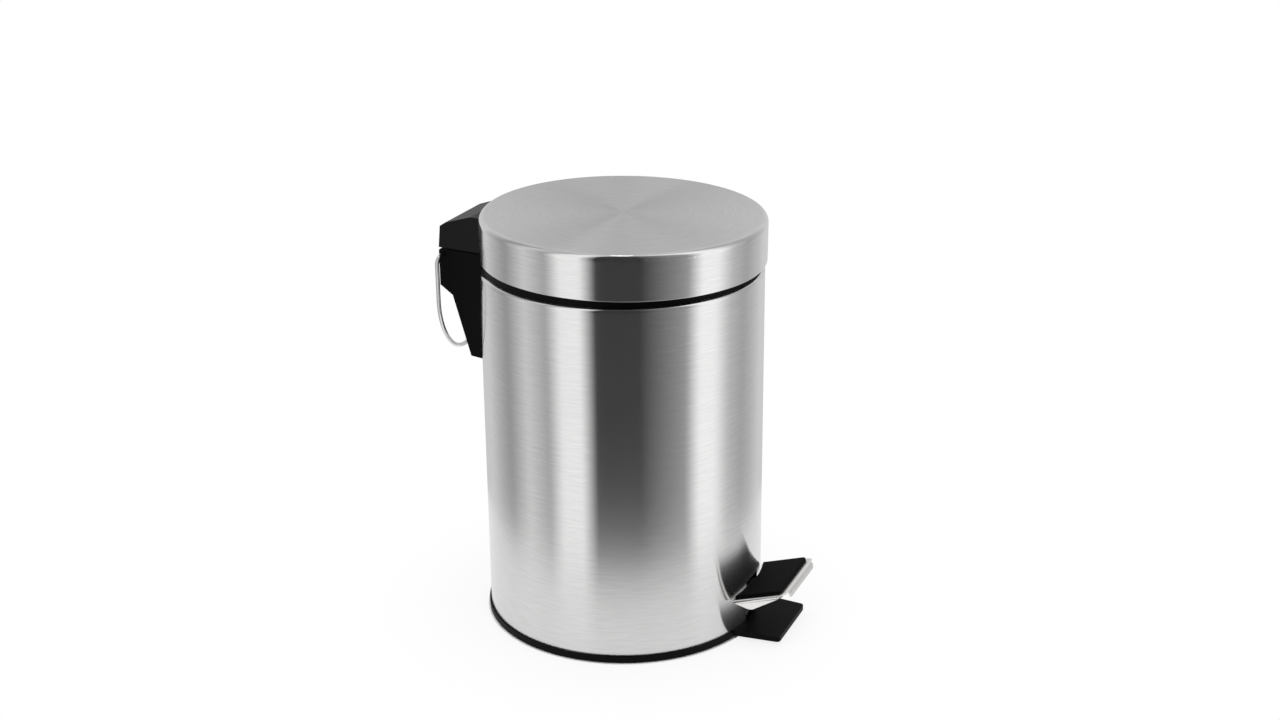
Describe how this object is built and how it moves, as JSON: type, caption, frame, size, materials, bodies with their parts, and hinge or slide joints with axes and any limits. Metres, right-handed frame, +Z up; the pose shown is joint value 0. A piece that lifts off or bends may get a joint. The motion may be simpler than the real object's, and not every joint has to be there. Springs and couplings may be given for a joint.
{
  "type": "pedal bin",
  "caption": "Round steel pedal bin: lever and lift rod raise a rear-hinged lid, with plastic base, inner bucket and wire carrying bail.",
  "frame": {"origin": "floor level on the can's axis", "axes": "+Z up, -Y to the pedal, +Y to the hinge"},
  "size_m": [0.1722, 0.2288, 0.2546],
  "materials": {
    "brushed_steel": "brushed stainless sheet",
    "bright_wire": "bright plated wire",
    "bright_plate": "polished pressed sheet",
    "zinc_steel": "zinc plated steel",
    "black_plastic": "fine grained moulding",
    "bucket_plastic": "satin moulding",
    "black_rubber": "matte rubber"
  },
  "bodies": {
    "can": {"body_shell": "brushed_steel", "base": "black_plastic", "top_ring": "black_plastic", "lid_bumpers": "black_rubber", "rear_bracket": "black_plastic", "bracket_screws": "zinc_steel", "hinge_pin": "zinc_steel", "pivot_pin": "zinc_steel", "pivot_nuts": "zinc_steel"},
    "lid": {"lid_shell": "brushed_steel", "lid_hinge": "black_plastic", "lid_rivets": "zinc_steel"},
    "pedal": {"pedal_lever": "zinc_steel", "pedal_plate": "bright_plate", "pedal_pad": "black_rubber", "pedal_rivets": "zinc_steel"},
    "rod": {"lift_rod": "zinc_steel", "rod_collar": "zinc_steel", "rod_nut": "zinc_steel"},
    "bail": {"carry_bail": "bright_wire"},
    "bucket": {"bucket": "bucket_plastic"},
    "bucket_handle": {"bucket_handle": "bright_wire"}
  },
  "joints": [
    {"name": "lid_hinge", "type": "hinge", "parent": "can", "child": "lid", "pos_m": [0, 0.1084, 0.2215], "axis": [-1, 0, 0], "range_deg": [0, 75]},
    {"name": "pedal_press", "type": "hinge", "parent": "can", "child": "pedal", "pos_m": [0, 0, 0.012], "axis": [1, 0, 0], "range_deg": [0, 12]},
    {"name": "rod_lift", "type": "slide", "parent": "can", "child": "rod", "axis": [0, 0, 1], "range_m": [0, 0.01622]},
    {"name": "bail_swing", "type": "hinge", "parent": "can", "child": "bail", "pos_m": [0, 0.1084, 0.2215], "axis": [1, 0, 0], "range_deg": [-10, 110]},
    {"name": "bucket_lift", "type": "slide", "parent": "can", "child": "bucket", "axis": [0, 0, 1], "range_m": [0, 0.012]},
    {"name": "bucket_handle_swing", "type": "hinge", "parent": "bucket", "child": "bucket_handle", "pos_m": [0, 0, 0.2237], "axis": [-1, 0, 0], "range_deg": [0, 9]}
  ],
  "couplings": [
    {"joint": "pedal_press", "follows": "lid_hinge", "ratio": 0.16},
    {"joint": "rod_lift", "follows": "lid_hinge", "m_per_rad": 0.012393}
  ]
}
